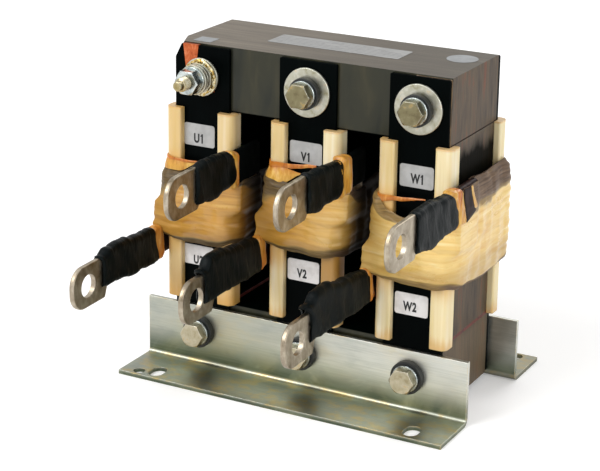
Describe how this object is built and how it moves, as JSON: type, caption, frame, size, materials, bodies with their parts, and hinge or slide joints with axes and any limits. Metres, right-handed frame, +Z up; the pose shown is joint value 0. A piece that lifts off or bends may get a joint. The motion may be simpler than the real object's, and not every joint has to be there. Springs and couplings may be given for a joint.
{
  "type": "three-phase line reactor",
  "caption": "Three-phase line reactor: laminated iron core, taped coils on its limbs, flat lugged terminals to the front, and slotted mounting brackets.",
  "frame": {"origin": "middle of the four foot slots, on the plane the brackets stand on", "axes": "+X along the core from phase U to phase W, +Y to the rear away from the terminals, +Z up from the mounting plane"},
  "size_m": [0.204, 0.2045, 0.193],
  "materials": {
    "lamination": "varnished silicon-steel laminations, grey-brown with rust along the cut edges",
    "gap_spacer": "dark red insulating sheet",
    "joint_sheet": "dark brown insulating sheet",
    "strip": "black resin-bonded sheet, slightly glossy",
    "corner_bar": "cream to amber pultruded resin bar",
    "winding": "enamelled copper, hidden under the tape",
    "coil_wrap": "amber varnished tape",
    "tinned_copper": "tin-plated copper, satin",
    "sleeve": "black insulating tape",
    "bracket": "zinc-plated sheet steel",
    "copper_foil": "bare copper foil",
    "fastener": "zinc-plated steel",
    "bush": "black moulded insulating bush"
  },
  "bodies": {
    "root": {"top_yoke": "lamination", "bottom_yoke": "lamination", "limb_u": "lamination", "gap_spacer_u": "gap_spacer", "joint_sheet_u": "joint_sheet", "front_strip_u": "strip", "rear_strip_u": "strip", "front_left_bar_u": "corner_bar", "rear_left_bar_u": "corner_bar", "front_right_bar_u": "corner_bar", "rear_right_bar_u": "corner_bar", "winding_u": "winding", "coil_wrap_u": "coil_wrap", "exit_tapes_u": "coil_wrap", "terminal_u1": "tinned_copper", "sleeve_u1": "sleeve", "terminal_u2": "tinned_copper", "sleeve_u2": "sleeve", "limb_v": "lamination", "gap_spacer_v": "gap_spacer", "joint_sheet_v": "joint_sheet", "front_strip_v": "strip", "rear_strip_v": "strip", "front_left_bar_v": "corner_bar", "rear_left_bar_v": "corner_bar", "front_right_bar_v": "corner_bar", "rear_right_bar_v": "corner_bar", "winding_v": "winding", "coil_wrap_v": "coil_wrap", "exit_tapes_v": "coil_wrap", "terminal_v1": "tinned_copper", "sleeve_v1": "sleeve", "terminal_v2": "tinned_copper", "sleeve_v2": "sleeve", "limb_w": "lamination", "gap_spacer_w": "gap_spacer", "joint_sheet_w": "joint_sheet", "front_strip_w": "strip", "rear_strip_w": "strip", "front_left_bar_w": "corner_bar", "rear_left_bar_w": "corner_bar", "front_right_bar_w": "corner_bar", "rear_right_bar_w": "corner_bar", "winding_w": "winding", "coil_wrap_w": "coil_wrap", "exit_tapes_w": "coil_wrap", "terminal_w1": "tinned_copper", "sleeve_w1": "sleeve", "terminal_w2": "tinned_copper", "sleeve_w2": "sleeve", "front_bracket": "bracket", "rear_bracket": "bracket", "earth_foil": "copper_foil", "upper_clamp_bolts": "fastener", "lower_clamp_bolts": "fastener", "clamp_nuts": "fastener", "wide_washers": "fastener", "small_washers": "fastener", "earth_stud": "fastener", "insulating_bushes": "bush"}
  },
  "joints": []
}
